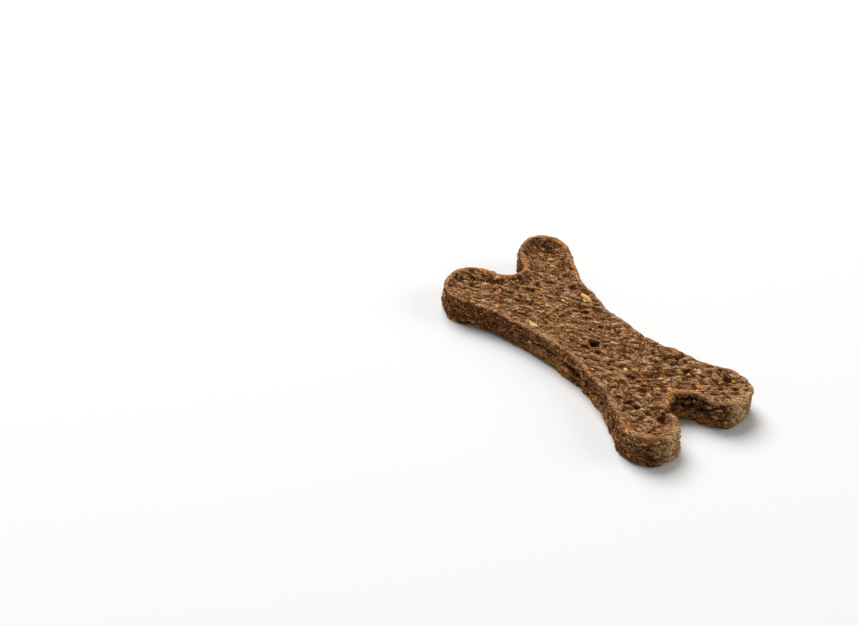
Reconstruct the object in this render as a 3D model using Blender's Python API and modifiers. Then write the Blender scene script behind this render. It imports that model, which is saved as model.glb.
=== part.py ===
"""A dried beef chew in the shape of a bone, lying flat with its dished face up.

One solid in metres, +Z up and +X along the bone. The origin is on the ground, under the
middle of the footprint.
"""
import math
import random

import bmesh
import bpy
import numpy as np
from mathutils import Matrix, Vector, kdtree, noise

# The slab, cut from a pressed sheet of dough and then dried
THICKNESS = 0.0079
EDGE_ROUND = 0.0006
ARC_STEP = 0.0010

# The knobs, anticlockwise from the far right: centre x and y, radius, how far the tip curls up,
# and how much thicker it is than the waist
KNOBS = (
    (0.0412, 0.0148, 0.0098, 0.0005, 0.0006),
    (-0.0400, 0.0152, 0.0086, 0.0028, 0.0002),
    (-0.0404, -0.0142, 0.0097, 0.0003, 0.0001),
    (0.0425, -0.0162, 0.0089, 0.0002, 0.0008),
)
# The hollow arc that follows each knob: far waist, left notch, near waist, right notch
HOLLOWS = (
    (0.0728, (0, 1)),
    (0.0059, (-1, 0)),
    (0.0729, (0, -1)),
    (0.0064, (1, 0)),
)
CURL_REACH = 0.032
# The near right knob spreads at its foot
FOOT_SPREAD = 0.0009
FOOT_REACH = 0.030

# The shown face: a raised rim round a shallow dish
RIM_RISE = 0.0007
RIM_INSET = 0.0010
RIM_BREADTH = 0.0007
RIM_EVENNESS = 0.60
RIM_CHANGE = 1.3
RIM_CHANGE_LENGTH = 0.0090
LIP_SPREAD = 0.8
DISH_DEPTH = 0.0010
DISH_REACH = 0.0050
BOWL_REACH = 0.0030

# Where the rim curls up into a lip: x, y, reach and height
LIPS = (
    (0.0383, 0.0005, 0.0045, 0.0006),
    (0.0412, 0.0044, 0.0040, 0.0005),
    (0.0470, -0.0100, 0.0050, 0.0006),
    (0.0460, -0.0240, 0.0050, 0.0004),
    (-0.0393, 0.0010, 0.0050, 0.0003),
    (-0.0330, 0.0215, 0.0050, 0.0004),
    (-0.0450, 0.0220, 0.0060, 0.0006),
    (-0.0385, 0.0236, 0.0050, 0.0003),
)
# Where the dish is deeper: x, y, reach and depth
BOWLS = (
    (-0.0415, 0.0170, 0.0080, 0.0022),
    (0.0416, -0.0152, 0.0070, 0.0013),
    (0.0408, 0.0162, 0.0065, 0.0007),
    (-0.0420, -0.0120, 0.0070, 0.0007),
)

# The walls: a groove under the rim, a soft belly below it, and layers
GROOVE_DEPTH = 0.0005
GROOVE_HEIGHT = 0.50
GROOVE_BREADTH = 0.11
BELLY = 0.0003

# Where the groove is deeper, where the foot of the wall stands out, and where its top is set back:
# x, y, reach and size
UNDERCUTS = (
    (0.0385, 0.0010, 0.0065, 0.0019),
    (0.0430, 0.0055, 0.0045, 0.0012),
    (0.0050, -0.0140, 0.0180, 0.0011),
    (-0.0390, 0.0010, 0.0060, 0.0005),
)
FEET = (
    (0.0000, -0.0140, 0.0100, 0.0006),
)
SETBACKS = (
    (0.0384, -0.0015, 0.0050, 0.0014),
)
LAYER_DEPTH = 0.0004
LAYER_LENGTH = 0.0090
LAYER_HEIGHT = 0.0016
WALL_REACH = 0.0026
WANDER = 0.0004
WANDER_LENGTH = 0.0100
WANDER_REACH = 0.0080
NICK = 0.0003
NICK_LENGTH = 0.0030

# The crags: folds that lie aslant the bone, long at the left and short at the right, and broad lumps
FOLD_TURN = math.radians(33)
LONG_FOLD = 0.0080
SHORT_FOLD = 0.0052
FOLD_BREADTH = 0.0029
FOLD_HEIGHTS = (0.0011, 0.0016)
FOLD_ROUNDNESS = 0.8
FOLD_MEAN = 0.30
RIM_CALM = 0.80
RIM_CALM_REACH = 0.0035
FOLD_CHANGE = (-0.020, 0.020)
WAVER = 0.0016
WAVER_LENGTH = 0.011
LUMP_SIZE = 0.0085
LUMP_HEIGHT = 0.0006
WALL_SHARE_OF_FOLDS = 0.30

# The underside, pressed flat on its tray between the creases, with one patch that is flat all over
UNDERSIDE_SHARE = 0.50
PRESS = 0.0001
REST_PLACE = (-0.0040, 0.0010)
REST_REACH = 0.0060
FLAT = 0.00006

# Pits in the shown face and dents in its edge: x, y, reach and depth
PITS = (
    (-0.0146, 0.0079, 0.0008, 0.0010),
    (-0.0128, 0.0078, 0.0010, 0.0020),
    (-0.0110, 0.0076, 0.0008, 0.0012),
    (0.0393, 0.0200, 0.0011, 0.0010),
    (0.0440, -0.0165, 0.0016, 0.0009),
    (0.0412, -0.0068, 0.0009, 0.0014),
    (0.0416, -0.0088, 0.0010, 0.0018),
    (0.0425, -0.0106, 0.0010, 0.0014),
    (0.0020, 0.0090, 0.0014, 0.0008),
    (0.0230, 0.0060, 0.0016, 0.0008),
    (-0.0300, 0.0010, 0.0013, 0.0007),
)
DENTS = (
    (-0.0235, 0.0160, 0.0040, 0.0011),
    (0.0125, 0.0145, 0.0030, -0.0005),
    (-0.0490, -0.0190, 0.0030, 0.0006),
    (0.0100, -0.0140, 0.0045, 0.0005),
)

# The peg hole that the bone dried on, an oval with a raised ring round it
PEG_PLACE = (0.0022, -0.0016)
PEG_RADIUS = 0.0018
PEG_END_RADIUS = 0.0008
PEG_LENGTHENING = 1.10
PEG_DEPTH = 0.0052
PEG_LEAN = math.radians(14)
RING_RISE = 0.0006
RING_REACH = 1.28
RING_BREADTH = 0.24

# Grains of meal and fat that stand out of the surface: x, y, length, breadth for its length and turn
# of those that show most
SHOWN_GRAINS = (
    (-0.0171, 0.0122, 0.0054, 0.38, -3),
    (-0.0156, -0.0113, 0.0029, 0.70, 20),
    (-0.0396, 0.0171, 0.0024, 0.60, 35),
    (-0.0447, 0.0181, 0.0020, 0.60, 60),
    (0.0302, 0.0164, 0.0025, 0.80, 30),
    (0.0174, -0.0022, 0.0020, 0.60, 10),
    (-0.0296, -0.0140, 0.0019, 0.60, 80),
    (0.0357, 0.0112, 0.0037, 0.40, 28),
    (0.0381, -0.0205, 0.0040, 0.35, -39),
    (0.0186, 0.0089, 0.0026, 0.50, 30),
)
SCATTERED_GRAINS = 42
GRAIN_LENGTH = (0.0014, 0.0023)
GRAIN_BREADTH = 0.62
GRAIN_HEIGHT = 0.36
GRAIN_SUNK = 0.17
GRAIN_TRIES = 24
TOP_SHARE = 0.62
HALF_SPAN = (0.050, 0.025)
WALL_BAND = (0.20, 0.85)

# Where each uneven pattern is read from, and the seed of the scattered grains
FOLD_SEED = 7.3
LUMP_SEED = 0.040
RIM_SEED = 3.1
LAYER_SEED = 4.4
WANDER_SEED = 2.6
NICK_SEED = 5.9
GRAIN_SEED = 11

# The mesh
VOXEL = 0.0007
BODY_TRIANGLES = 9400
WELD = 0.000001

BROWN = (0.270, 0.125, 0.050, 1.0)
ROUGHNESS = 0.72


def smooth(value):
    """Runs from 0 to 1 with level ends, and stays at them beyond."""
    value = min(max(value, 0.0), 1.0)
    return value * value * (3.0 - 2.0 * value)


def hump(distance, reach):
    """A bell that is 1 at no distance and dies away past its reach."""
    return math.exp(-(distance / reach) ** 2)


def hollow_centre(knob, following, radius, outward):
    """Centre of the arc that touches two knobs from outside, on the given side of them."""
    start, end = np.array(knob[:2]), np.array(following[:2])
    span = np.linalg.norm(end - start)
    way = (end - start) / span
    to_start, to_end = knob[2] + radius, following[2] + radius
    along = (span ** 2 + to_start ** 2 - to_end ** 2) / (2 * span)
    side = np.array((-way[1], way[0]))
    side *= math.copysign(1.0, side @ np.array(outward))
    return start + way * along + side * math.sqrt(to_start ** 2 - along ** 2)


def arc(centre, radius, start, end, step):
    """Points round an arc from one angle to another, without the last."""
    count = max(2, math.ceil(abs(end - start) * radius / step))
    angles = np.linspace(start, end, count, endpoint=False)
    return [(centre[0] + radius * math.cos(a), centre[1] + radius * math.sin(a)) for a in angles]


def bearing(origin, target):
    """Angle of the way from one point to another."""
    return math.atan2(target[1] - origin[1], target[0] - origin[0])


def outline(step):
    """The closed outline, anticlockwise: a round arc over each knob, then the hollow after it."""
    following = KNOBS[1:] + KNOBS[:1]
    centres = [hollow_centre(knob, after, *hollow) for knob, after, hollow in zip(KNOBS, following, HOLLOWS)]
    points = []
    for i, (knob, after, (radius, _)) in enumerate(zip(KNOBS, following, HOLLOWS)):
        start, end = bearing(knob, centres[i - 1]), bearing(knob, centres[i])
        points += arc(knob, knob[2], start, end + math.tau * (end < start), step)
        start, end = bearing(centres[i], knob), bearing(centres[i], after)
        points += arc(centres[i], radius, start, end - math.tau * (end > start), step)
    return points


class Edge:
    """The outline as a place to measure from."""

    def __init__(self):
        self.points = [Vector(p) for p in outline(ARC_STEP / 4)]
        self.tree = kdtree.KDTree(len(self.points))
        for i, point in enumerate(self.points):
            self.tree.insert(point.to_3d(), i)
        self.tree.balance()

    def normal(self, i):
        """The way straight out of the outline at one of its points."""
        way = self.points[(i + 1) % len(self.points)] - self.points[i - 1]
        return Vector((way.y, -way.x)).normalized()

    def measure(self, x, y):
        """How far inside the edge a point lies, and the way out."""
        nearest, i, _ = self.tree.find((x, y, 0.0))
        out = self.normal(i)
        return (nearest.xy - Vector((x, y))).dot(out), out


def nearness(x, y, knob, reach):
    """1 at a knob's tip, falling to 0 over the reach."""
    knob_x, knob_y, radius = knob[:3]
    stretch = 1.0 + radius / math.hypot(knob_x, knob_y)
    return smooth(1.0 - math.hypot(x - knob_x * stretch, y - knob_y * stretch) / reach)


def swells(places, x, y):
    """Height of some soft bumps: each has a place, a reach and a height."""
    return sum(height * hump(math.hypot(x - px, y - py), reach) for px, py, reach, height in places)


def curl(x, y):
    """How far the slab is bent up here by the knobs' curled tips."""
    return sum(knob[3] * nearness(x, y, knob, CURL_REACH) for knob in KNOBS)


def swell(x, y):
    """How much thicker the slab is here than at the waist."""
    return sum(knob[4] * nearness(x, y, knob, CURL_REACH) for knob in KNOBS)


def fibre_place(x, y, z):
    """A place measured along and across the grain of the meat, which wavers."""
    waver = WAVER * noise.noise(Vector((x, y, z)) / WAVER_LENGTH)
    along = x * math.cos(FOLD_TURN) + y * math.sin(FOLD_TURN)
    across = y * math.cos(FOLD_TURN) - x * math.sin(FOLD_TURN) + waver
    return along, across


def turning(x, left, right):
    """A value that changes from the left of the bone to the right."""
    return left + (right - left) * smooth((x - FOLD_CHANGE[0]) / (FOLD_CHANGE[1] - FOLD_CHANGE[0]))


def ridges(along, across, depth, long, short, x):
    """Rounded ridges with sharp creases between them, long at the left and short at the right."""
    long_ridge = abs(noise.noise(Vector((along / long, across, depth))))
    short_ridge = abs(noise.noise(Vector((along / short, across, depth))))
    return turning(x, long_ridge, short_ridge)


def folds(x, y, z):
    """Rounded folds with sharp creases between them, about zero on average."""
    along, across = fibre_place(x, y, z)
    fold = ridges(along, across / FOLD_BREADTH, z / FOLD_BREADTH + FOLD_SEED, LONG_FOLD, SHORT_FOLD, x)
    return turning(x, *FOLD_HEIGHTS) * (fold ** FOLD_ROUNDNESS - FOLD_MEAN)


def lumps(x, y, z):
    """Broad swells and hollows."""
    return LUMP_HEIGHT * noise.noise(Vector((x, y, z + LUMP_SEED)) / LUMP_SIZE)


def from_peg(x, y):
    """How far a point of the shown face lies from the peg hole's middle: 1 at the hole's edge."""
    return math.hypot((x - PEG_PLACE[0]) / PEG_LENGTHENING, y - PEG_PLACE[1]) / PEG_RADIUS


def ring(x, y):
    """1 along the raised ring round the peg hole."""
    return hump(from_peg(x, y) - RING_REACH, RING_BREADTH)


def shown_face(x, y, inside):
    """How far the shown face lies over the flat slab's."""
    change = RIM_CHANGE * noise.noise(Vector((x / RIM_CHANGE_LENGTH, y / RIM_CHANGE_LENGTH, RIM_SEED)))
    lip = swells(LIPS, x, y)
    past = max(inside - RIM_INSET - LIP_SPREAD * lip, 0.0)
    rim = (RIM_RISE * (RIM_EVENNESS + change) + lip) * hump(past, RIM_BREADTH)
    dish = DISH_DEPTH * smooth(past / DISH_REACH) + swells(BOWLS, x, y) * smooth(past / BOWL_REACH)
    calm = 1.0 - RIM_CALM * (1.0 - smooth(inside / RIM_CALM_REACH))
    rim += RING_RISE * ring(x, y)
    return rim - dish + calm * folds(x, y, THICKNESS) + lumps(x, y, THICKNESS) - swells(PITS, x, y)


def underside(x, y):
    """How far the underside lies over the ground before it is pressed flat."""
    clear = smooth(math.dist((x, y), REST_PLACE) / REST_REACH - 1.0)
    return -UNDERSIDE_SHARE * clear * (folds(x, y, 0.0) + lumps(x, y, 0.0)) - PRESS


def wall(x, y, z, height):
    """How far a wall stands out of the outline, at a height from 0 to 1."""
    groove = (GROOVE_DEPTH + swells(UNDERCUTS, x, y)) * hump(height - GROOVE_HEIGHT, GROOVE_BREADTH)
    belly = BELLY * math.sin(math.pi * height)
    layer = noise.noise(Vector((x / LAYER_LENGTH, y / LAYER_LENGTH, z / LAYER_HEIGHT + LAYER_SEED)))
    foot = (1.0 - height) * (FOOT_SPREAD * nearness(x, y, KNOBS[3], FOOT_REACH) + swells(FEET, x, y))
    return belly - groove + foot + LAYER_DEPTH * layer + WALL_SHARE_OF_FOLDS * folds(x, y, z)


def wander(x, y):
    """How far the cut edge strays from the outline."""
    stray = WANDER * noise.noise(Vector((x / WANDER_LENGTH, y / WANDER_LENGTH, WANDER_SEED)))
    stray += NICK * noise.noise(Vector((x / NICK_LENGTH, y / NICK_LENGTH, NICK_SEED)))
    return stray - swells(DENTS, x, y)


def form(point, edge):
    """Moves a point of the flat slab to its place on the dried bone."""
    x, y, z = point
    inside, out = edge.measure(x, y)
    height = min(max(z / THICKNESS, 0.0), 1.0)
    top = shown_face(x, y, inside)
    bottom = underside(x, y)
    stand_out = smooth(1.0 - inside / WALL_REACH) * wall(x, y, z, height)
    stand_out += smooth(1.0 - inside / WANDER_REACH) * (wander(x, y) - height ** 2 * swells(SETBACKS, x, y))
    rise = curl(x, y) + bottom + (swell(x, y) + top - bottom) * height
    return Vector((x + out.x * stand_out, y + out.y * stand_out, max(0.0, z + rise)))


def new_collection(collection_name):
    """A new collection in the scene."""
    collection = bpy.data.collections.new(collection_name)
    bpy.context.scene.collection.children.link(collection)
    return collection


def move_to(item, collection):
    """Moves an item from the collections that hold it to one of its own."""
    for holder in item.users_collection:
        holder.objects.unlink(item)
    collection.objects.link(item)


def evaluated_mesh(item):
    """The item's mesh with its modifiers worked in."""
    bpy.context.view_layer.update()
    return bpy.data.meshes.new_from_object(item.evaluated_get(bpy.context.evaluated_depsgraph_get()))


def bake(item):
    """Works the item's modifiers into its mesh."""
    mesh = evaluated_mesh(item)
    item.modifiers.clear()
    item.data = mesh


def flat_slab(collection):
    """The cut outline as a slab with rounded edges, from the ground up."""
    curve = bpy.data.curves.new("outline", "CURVE")
    curve.dimensions = "2D"
    curve.fill_mode = "BOTH"
    curve.extrude = THICKNESS / 2 - EDGE_ROUND
    curve.bevel_depth = EDGE_ROUND
    curve.bevel_resolution = 3
    curve.offset = -EDGE_ROUND
    points = outline(ARC_STEP)
    spline = curve.splines.new("POLY")
    spline.points.add(len(points) - 1)
    for target, (x, y) in zip(spline.points, points):
        target.co = (x, y, 0.0, 1.0)
    spline.use_cyclic_u = True
    drawn = bpy.data.objects.new("outline", curve)
    collection.objects.link(drawn)
    drawn.location.z = THICKNESS / 2
    mesh = evaluated_mesh(drawn)
    slab = bpy.data.objects.new("bone", mesh)
    slab.matrix_world = drawn.matrix_world
    collection.objects.link(slab)
    bpy.data.objects.remove(drawn)
    sheet = bmesh.new()
    sheet.from_mesh(mesh)
    bmesh.ops.remove_doubles(sheet, verts=sheet.verts, dist=WELD)
    sheet.transform(slab.matrix_world)
    sheet.to_mesh(mesh)
    sheet.free()
    slab.matrix_world = Matrix.Identity(4)
    return slab


def dried_body(collection, edge):
    """The slab with its rim, dish, curl and crags."""
    body = flat_slab(collection)
    grid = body.modifiers.new("grid", "REMESH")
    grid.mode = "VOXEL"
    grid.voxel_size = VOXEL
    bake(body)
    for vertex in body.data.vertices:
        vertex.co = form(vertex.co, edge)
    thin = body.modifiers.new("thin", "DECIMATE")
    triangles = sum(len(face.vertices) - 2 for face in body.data.polygons)
    thin.ratio = BODY_TRIANGLES / triangles
    bake(body)
    return body


def settle(body):
    """Centres the footprint on the origin and evens the flat patches."""
    middle = [(min(ends) + max(ends)) / 2 for ends in zip(*(v.co.xy for v in body.data.vertices))]
    for vertex in body.data.vertices:
        vertex.co.xy -= Vector(middle)
        if vertex.co.z < FLAT:
            vertex.co.z = 0.0


def grain_places(edge, rng):
    """Rough places for the scattered grains: each is the emptiest of a few random ones."""
    places = [Vector((x, y, THICKNESS)) for x, y, *_ in SHOWN_GRAINS]
    places.append(Vector((*PEG_PLACE, THICKNESS)))
    known = len(places)
    while len(places) < known + SCATTERED_GRAINS:
        tries = [grain_try(edge, rng) for _ in range(GRAIN_TRIES)]
        places.append(max(tries, key=lambda p: min((p - q).length for q in places)))
    return places[known:]


def grain_try(edge, rng):
    """A random place on the shown face or a wall."""
    if rng.random() > TOP_SHARE:
        point = rng.choice(edge.points)
        return Vector((point.x, point.y, THICKNESS * rng.uniform(*WALL_BAND)))
    while True:
        x, y = (rng.uniform(-half, half) for half in HALF_SPAN)
        if edge.measure(x, y)[0] > EDGE_ROUND:
            return Vector((x, y, THICKNESS))


def grain(body, collection, place, length, breadth, turn):
    """One grain laid on the surface nearest to a place, part of it sunk in."""
    _, spot, up, _ = body.closest_point_on_mesh(place)
    bpy.ops.mesh.primitive_ico_sphere_add(subdivisions=1, radius=0.5)
    item = bpy.context.object
    move_to(item, collection)
    size = Vector((length, length * breadth, length * GRAIN_HEIGHT))
    lie = Vector((0, 0, 1)).rotation_difference(up).to_matrix().to_4x4()
    spun = Matrix.Rotation(turn, 4, "Z") @ Matrix.Diagonal(size).to_4x4()
    item.data.transform(Matrix.Translation(spot - up * size.z * GRAIN_SUNK) @ lie @ spun)


def add_grains(body, edge):
    """Fuses the grains to the body."""
    rng = random.Random(GRAIN_SEED)
    heap = new_collection("grains")
    for x, y, length, breadth, turn in SHOWN_GRAINS:
        grain(body, heap, Vector((x, y, THICKNESS)), length, breadth, math.radians(turn))
    for place in grain_places(edge, rng):
        grain(body, heap, place, rng.uniform(*GRAIN_LENGTH), GRAIN_BREADTH, rng.uniform(0, math.tau))
    join = body.modifiers.new("join", "BOOLEAN")
    join.operation = "UNION"
    join.operand_type = "COLLECTION"
    join.collection = heap
    join.solver = "EXACT"
    bake(body)
    for item in list(heap.objects):
        bpy.data.objects.remove(item)
    bpy.data.collections.remove(heap)


def cut_peg_hole(body, cutters):
    """The narrow leaning hole near the middle."""
    bpy.ops.mesh.primitive_cone_add(
        vertices=10, radius1=PEG_END_RADIUS, radius2=2 * PEG_RADIUS - PEG_END_RADIUS, depth=2 * PEG_DEPTH)
    peg = bpy.context.object
    peg.name = "peg"
    move_to(peg, cutters)
    peg.location = (*PEG_PLACE, THICKNESS)
    peg.rotation_euler = (0.0, PEG_LEAN, 0.0)
    peg.scale.x = PEG_LENGTHENING
    peg.hide_render = True
    peg.display_type = "WIRE"
    cut = body.modifiers.new("peg_hole", "BOOLEAN")
    cut.operation = "DIFFERENCE"
    cut.object = peg
    cut.solver = "EXACT"


def meat():
    """Brown dried meat, dull."""
    material = bpy.data.materials.new("dried_meat")
    material.use_nodes = True
    shader = material.node_tree.nodes["Principled BSDF"]
    shader.inputs["Base Color"].default_value = BROWN
    shader.inputs["Roughness"].default_value = ROUGHNESS
    shader.inputs["Metallic"].default_value = 0.0
    material.diffuse_color = BROWN
    return material


def main():
    for item in list(bpy.data.objects):
        bpy.data.objects.remove(item)
    parts = new_collection("beef_chew_bone")
    cutters = new_collection("cutters")
    edge = Edge()
    body = dried_body(parts, edge)
    settle(body)
    add_grains(body, edge)
    cut_peg_hole(body, cutters)
    body.data.materials.clear()
    body.data.materials.append(meat())


main()
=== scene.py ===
"""The looks of a bone-shaped chew of dried minced beef, lying on a pale floor.

Metres, +Z up and +X along the bone, as in the frame.
"""
import math
import random

import bmesh
import bpy
import numpy as np
from mathutils import Matrix, Vector, kdtree, noise


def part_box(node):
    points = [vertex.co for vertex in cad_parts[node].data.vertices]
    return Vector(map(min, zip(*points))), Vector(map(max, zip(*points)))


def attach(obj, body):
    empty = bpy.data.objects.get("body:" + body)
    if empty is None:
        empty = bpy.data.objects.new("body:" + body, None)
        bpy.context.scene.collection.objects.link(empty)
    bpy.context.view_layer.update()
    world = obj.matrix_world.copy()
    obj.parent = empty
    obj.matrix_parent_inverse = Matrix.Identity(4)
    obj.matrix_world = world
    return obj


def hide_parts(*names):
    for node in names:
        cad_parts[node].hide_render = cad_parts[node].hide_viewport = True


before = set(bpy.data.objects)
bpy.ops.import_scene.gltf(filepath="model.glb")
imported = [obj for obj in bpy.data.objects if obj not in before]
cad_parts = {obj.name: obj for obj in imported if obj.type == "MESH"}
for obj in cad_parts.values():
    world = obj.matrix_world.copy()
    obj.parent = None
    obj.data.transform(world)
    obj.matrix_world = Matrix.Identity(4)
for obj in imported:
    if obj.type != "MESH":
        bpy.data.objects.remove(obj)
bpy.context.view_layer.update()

# The slab
THICKNESS = 0.0079
EDGE_ROUND = 0.0006
EDGE_ROUND_STEPS = 3
ARC_STEP = 0.0010
MEASURE_STEP = 0.00025

# The knobs, anticlockwise from the far right: centre x and y, radius, how far the tip curls up,
# and how much thicker it is than the waist
KNOBS = (
    (0.0412, 0.0148, 0.0098, 0.0005, 0.0006),
    (-0.0400, 0.0152, 0.0086, 0.0028, 0.0002),
    (-0.0404, -0.0142, 0.0097, 0.0003, 0.0001),
    (0.0425, -0.0162, 0.0089, 0.0002, 0.0008),
)
# The hollow arc that follows each knob: far waist, left notch, near waist, right notch
HOLLOWS = (
    (0.0728, (0, 1)),
    (0.0059, (-1, 0)),
    (0.0729, (0, -1)),
    (0.0064, (1, 0)),
)
CURL_REACH = 0.032
FOOT_SPREAD = 0.0009
FOOT_REACH = 0.030

# The shown face: a raised rim round a shallow dish
RIM_RISE = 0.0007
RIM_INSET = 0.0010
RIM_BREADTH = 0.0007
RIM_EVENNESS = 0.60
RIM_CHANGE = 1.3
RIM_CHANGE_LENGTH = 0.0090
LIP_SPREAD = 0.8
DISH_DEPTH = 0.0010
DISH_REACH = 0.0050
BOWL_REACH = 0.0030

# Where the rim curls up into a lip: x, y, reach and height
LIPS = (
    (0.0383, 0.0005, 0.0045, 0.0006),
    (0.0412, 0.0044, 0.0040, 0.0005),
    (0.0470, -0.0100, 0.0050, 0.0006),
    (0.0460, -0.0240, 0.0050, 0.0004),
    (-0.0393, 0.0010, 0.0050, 0.0003),
    (-0.0330, 0.0215, 0.0050, 0.0004),
    (-0.0450, 0.0220, 0.0060, 0.0006),
    (-0.0385, 0.0236, 0.0050, 0.0003),
)
# Where the dish is deeper: x, y, reach and depth
BOWLS = (
    (-0.0415, 0.0170, 0.0080, 0.0022),
    (0.0416, -0.0152, 0.0070, 0.0013),
    (0.0408, 0.0162, 0.0065, 0.0007),
    (-0.0420, -0.0120, 0.0070, 0.0007),
)

# The walls: a groove under the rim, a soft belly below it, and layers
GROOVE_DEPTH = 0.0005
GROOVE_HEIGHT = 0.50
GROOVE_BREADTH = 0.11
BELLY = 0.0003

# Where the groove is deeper, where the foot of the wall stands out, and where its top is set back:
# x, y, reach and size
UNDERCUTS = (
    (0.0385, 0.0010, 0.0065, 0.0019),
    (0.0430, 0.0055, 0.0045, 0.0012),
    (0.0050, -0.0140, 0.0180, 0.0011),
    (-0.0390, 0.0010, 0.0060, 0.0005),
)
FEET = (
    (0.0000, -0.0140, 0.0100, 0.0006),
)
SETBACKS = (
    (0.0384, -0.0015, 0.0050, 0.0014),
)
LAYER_DEPTH = 0.0004
LAYER_LENGTH = 0.0090
LAYER_HEIGHT = 0.0016
WALL_REACH = 0.0026
WANDER = 0.0004
WANDER_LENGTH = 0.0100
WANDER_REACH = 0.0080
NICK = 0.0003
NICK_LENGTH = 0.0030

# The crags: folds that lie aslant the bone, long at the left and short at the right, and broad lumps
FOLD_TURN = math.radians(33)
LONG_FOLD = 0.0080
SHORT_FOLD = 0.0052
FOLD_BREADTH = 0.0029
FOLD_HEIGHTS = (0.0011, 0.0016)
FOLD_ROUNDNESS = 0.8
FOLD_MEAN = 0.30
RIM_CALM = 0.80
RIM_CALM_REACH = 0.0035
FOLD_CHANGE = (-0.020, 0.020)
WAVER = 0.0016
WAVER_LENGTH = 0.011
LUMP_SIZE = 0.0085
LUMP_HEIGHT = 0.0006
WALL_SHARE_OF_FOLDS = 0.30

# The underside, pressed flat on its tray between the creases
UNDERSIDE_SHARE = 0.50
PRESS = 0.0001
REST_PLACE = (-0.0040, 0.0010)
REST_REACH = 0.0060

# Pits in the shown face and dents in its edge: x, y, reach and depth
PITS = (
    (-0.0146, 0.0079, 0.0008, 0.0010),
    (-0.0128, 0.0078, 0.0010, 0.0020),
    (-0.0110, 0.0076, 0.0008, 0.0012),
    (0.0393, 0.0200, 0.0011, 0.0010),
    (0.0440, -0.0165, 0.0016, 0.0009),
    (0.0412, -0.0068, 0.0009, 0.0014),
    (0.0416, -0.0088, 0.0010, 0.0018),
    (0.0425, -0.0106, 0.0010, 0.0014),
    (0.0020, 0.0090, 0.0014, 0.0008),
    (0.0230, 0.0060, 0.0016, 0.0008),
    (-0.0300, 0.0010, 0.0013, 0.0007),
)
DENTS = (
    (-0.0235, 0.0160, 0.0040, 0.0011),
    (0.0125, 0.0145, 0.0030, -0.0005),
    (-0.0490, -0.0190, 0.0030, 0.0006),
    (0.0100, -0.0140, 0.0045, 0.0005),
)

# The peg hole, an oval with a raised ring round it
PEG_PLACE = (0.0022, -0.0016)
PEG_RADIUS = 0.0018
PEG_END_RADIUS = 0.0008
PEG_LENGTHENING = 1.10
PEG_DEPTH = 0.0052
PEG_LEAN = math.radians(14)
PEG_SIDES = 20
RING_RISE = 0.0006
RING_REACH = 1.28
RING_BREADTH = 0.24

# Where each uneven pattern is read from
FOLD_SEED = 7.3
LUMP_SEED = 0.040
RIM_SEED = 3.1
LAYER_SEED = 4.4
WANDER_SEED = 2.6
NICK_SEED = 5.9
STRAND_SEED = 13.7
SHRED_SEED = 29.1
STRATUM_SEED = 8.2
CRINKLE_SEED = 5

# Grains of meal and fat that show most: x, y, length, breadth for its length, turn and kind
SHOWN_GRAINS = (
    (-0.0171, 0.0122, 0.0054, 0.38, -3, "golden"),
    (-0.0156, -0.0113, 0.0029, 0.70, 20, "cream"),
    (-0.0396, 0.0171, 0.0024, 0.60, 35, "cream"),
    (-0.0447, 0.0181, 0.0020, 0.60, 60, "golden"),
    (0.0302, 0.0164, 0.0025, 0.80, 30, "cream"),
    (0.0174, -0.0022, 0.0020, 0.60, 10, "golden"),
    (-0.0296, -0.0140, 0.0019, 0.60, 80, "golden"),
    (0.0357, 0.0112, 0.0037, 0.40, 28, "orange"),
    (0.0381, -0.0205, 0.0040, 0.35, -39, "orange"),
    (0.0186, 0.0089, 0.0026, 0.50, 30, "golden"),
)
# The scattered ones, of which a share lies on the shown face and the rest in a band of the walls
SCATTERED_GRAINS = 42
GRAIN_SEED = 11
GRAIN_LENGTH = (0.0014, 0.0023)
GRAIN_BREADTH = 0.62
GRAIN_TRIES = 24
TOP_SHARE = 0.62
HALF_SPAN = (0.050, 0.025)
WALL_BAND = (0.20, 0.85)
SCATTERED_KINDS = ("golden", "brown", "brown", "golden", "brown", "brown", "orange", "brown")

# The fine relief: strands of mince, shreds that break them up, and layers that show on the walls
VOXEL = 0.00033
WELD = 0.000001
LONG_STRAND = 0.0050
SHORT_STRAND = 0.0036
STRAND_BREADTH = 0.0016
STRAND_HEIGHTS = (0.00065, 0.00090)
STRAND_FULLNESS = 2.2
STRAND_ROUNDNESS = 0.75
SHRED_LENGTH = 0.0022
SHRED_BREADTH = 0.0010
SHRED_HEIGHT = 0.00030
CRINKLE = 0.0005
CRINKLE_LENGTH = 0.0030
STRATUM_LENGTH = 0.0055
STRATUM_HEIGHT = 0.0008
STRATUM_DEPTH = 0.00070
STRATUM_FULLNESS = 2.4
STRATUM_ROUNDNESS = 0.6
RELIEF_MEAN = 0.65
LIP_INSET = 0.0009
LIP_BREADTH = 0.0006
DEEPEST_GROOVE = 0.0018

# The near stretch where the rim is rougher: where it ends, how softly, and how much of the rim it lacks
ROUGH_END = 0.030
ROUGH_REACH = 0.012
ROUGH_LOSS = 0.15

# The brink of the shown face, which has less relief than the rest
BRINK_BREADTH = 0.0018
BRINK_CALM = 0.8

# The peg hole's reach, which has no relief, and how far down it is painted dark as shade
HOLE_REACH = 1.5
HOLE_FADE = 0.0010
HOLE_START = 0.3

# How some shares set in, from 0 to 1: each is a measure times the first number, less the second
WALL_RAMP = (1.5, 0.3)
LIP_RAMP = (6.0, 5.0)
HOLE_RAMP = (10.0, 1.5)
BRINK_RAMP = (4.0, 2.6)
DARK_RAMP = (1.6, 0.0)

# How high on a wall the painted shade lies and the amber places end, as shares of its height
DARK_TOP = 0.96
DARK_TOP_FADE = 0.08
DARK_FOOT = 0.20
AMBER_TOP = 1.6
AMBER_FADE = 3.2
AMBER_HOLE = 0.8
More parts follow.
